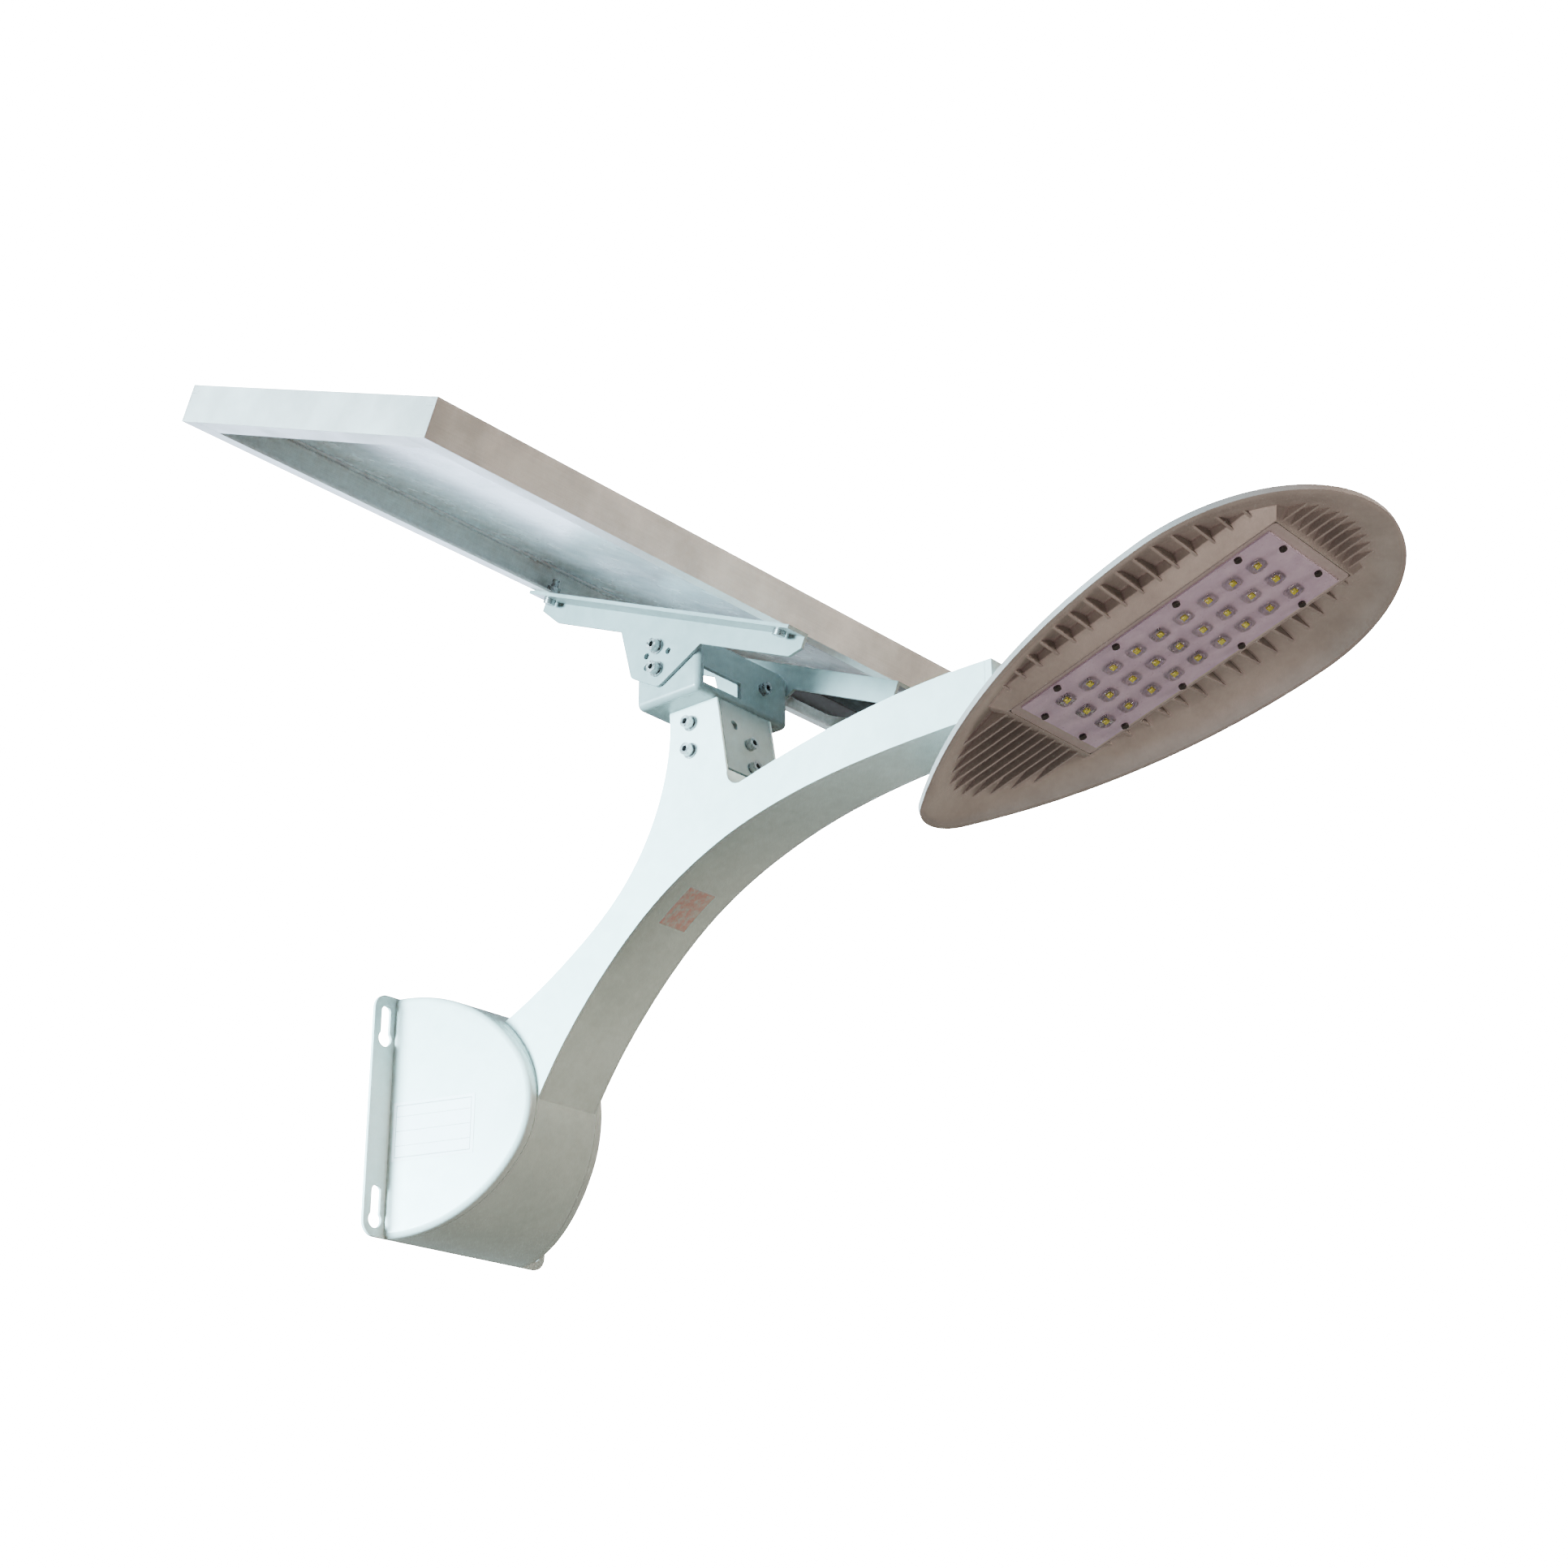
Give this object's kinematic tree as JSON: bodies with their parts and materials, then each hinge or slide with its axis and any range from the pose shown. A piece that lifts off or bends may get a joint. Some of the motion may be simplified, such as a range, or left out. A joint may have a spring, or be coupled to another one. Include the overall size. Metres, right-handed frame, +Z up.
{
  "type": "solar street lamp",
  "caption": "Wall-mounted solar street lamp: half-round battery box with narrowing sides, forked arm, tilting solar panel on a saddle bracket and a leaf-shaped die-cast LED head on a tilting fork.",
  "frame": {"origin": "middle of the wall flange's rear face, where it meets the wall or pole plate", "axes": "+X out from the wall along the arm toward the lamp head, +Y to the far side, +Z up"},
  "size_m": [1.1443, 1.02, 0.7202],
  "materials": {
    "white_coat": "satin powder coat",
    "grey_coat": "satin powder coat",
    "steel": "stainless",
    "zinc": "zinc plated",
    "frame_alu": "anodised",
    "glass": "tempered, smooth",
    "cells": "gloss",
    "backsheet": "gloss white",
    "black_plastic": "matte",
    "cast_grey": "satin",
    "plate_grey": "satin",
    "board": "satin solder mask",
    "lens": "clear acrylic",
    "phosphor": "satin",
    "label": "blank label",
    "rubber": "matte",
    "battery": "shrink sleeve",
    "controller": "matte"
  },
  "bodies": {
    "base_and_arm": {"back_plate": "white_coat", "hatch_cover": "white_coat", "hatch_tabs": "white_coat", "hatch_screws": "steel", "box_side_near": "white_coat", "box_side_far": "white_coat", "box_skin": "white_coat", "spec_label": "label", "battery_pack": "battery", "battery_strap": "zinc", "strap_screws": "steel", "charge_controller": "controller", "arm_side_near": "white_coat", "arm_side_far": "white_coat", "arm_underside": "white_coat", "arm_crotch_skin": "white_coat", "arm_back_skin": "white_coat", "arm_end_fork": "white_coat", "fork_bolt": "steel", "fork_nut": "steel", "saddle_stem": "grey_coat", "post_cover": "grey_coat", "saddle": "grey_coat", "stem_bolts": "steel", "stem_washers": "steel", "stem_nuts": "steel", "cover_bolts": "steel", "cover_nuts": "steel", "saddle_bolt": "steel", "saddle_nut": "steel"},
    "panel": {"tilt_bracket_near": "grey_coat", "tilt_bracket_far": "grey_coat", "pivot_bolts": "steel", "lock_bolts": "steel", "tilt_washers": "steel", "pivot_nuts": "steel", "lock_nuts": "steel", "clamp_bolts": "steel", "clamp_nuts": "steel", "panel_rail_low": "frame_alu", "panel_rail_high": "frame_alu", "panel_rail_near": "frame_alu", "panel_rail_far": "frame_alu", "backsheet": "backsheet", "solar_cells": "cells", "panel_glass": "glass", "junction_box": "black_plastic"},
    "lamp_head": {"lamp_housing": "cast_grey", "led_plate": "plate_grey", "led_board": "board", "led_screws": "steel", "led_lenses": "lens", "led_chips": "phosphor", "driver_cover": "cast_grey", "driver_gasket": "rubber", "driver_cover_screws": "steel", "led_driver": "controller", "head_knuckle": "cast_grey", "knuckle_screws": "steel"}
  },
  "joints": [
    {"name": "panel_tilt", "type": "hinge", "parent": "base_and_arm", "child": "panel", "pos_m": [0.356, 0, 0.446], "axis": [0, 1, 0], "range_deg": [-20, 12]},
    {"name": "head_tilt", "type": "hinge", "parent": "base_and_arm", "child": "lamp_head", "pos_m": [0.772, 0, 0.297], "axis": [0, -1, 0], "range_deg": [-10, 15]}
  ]
}
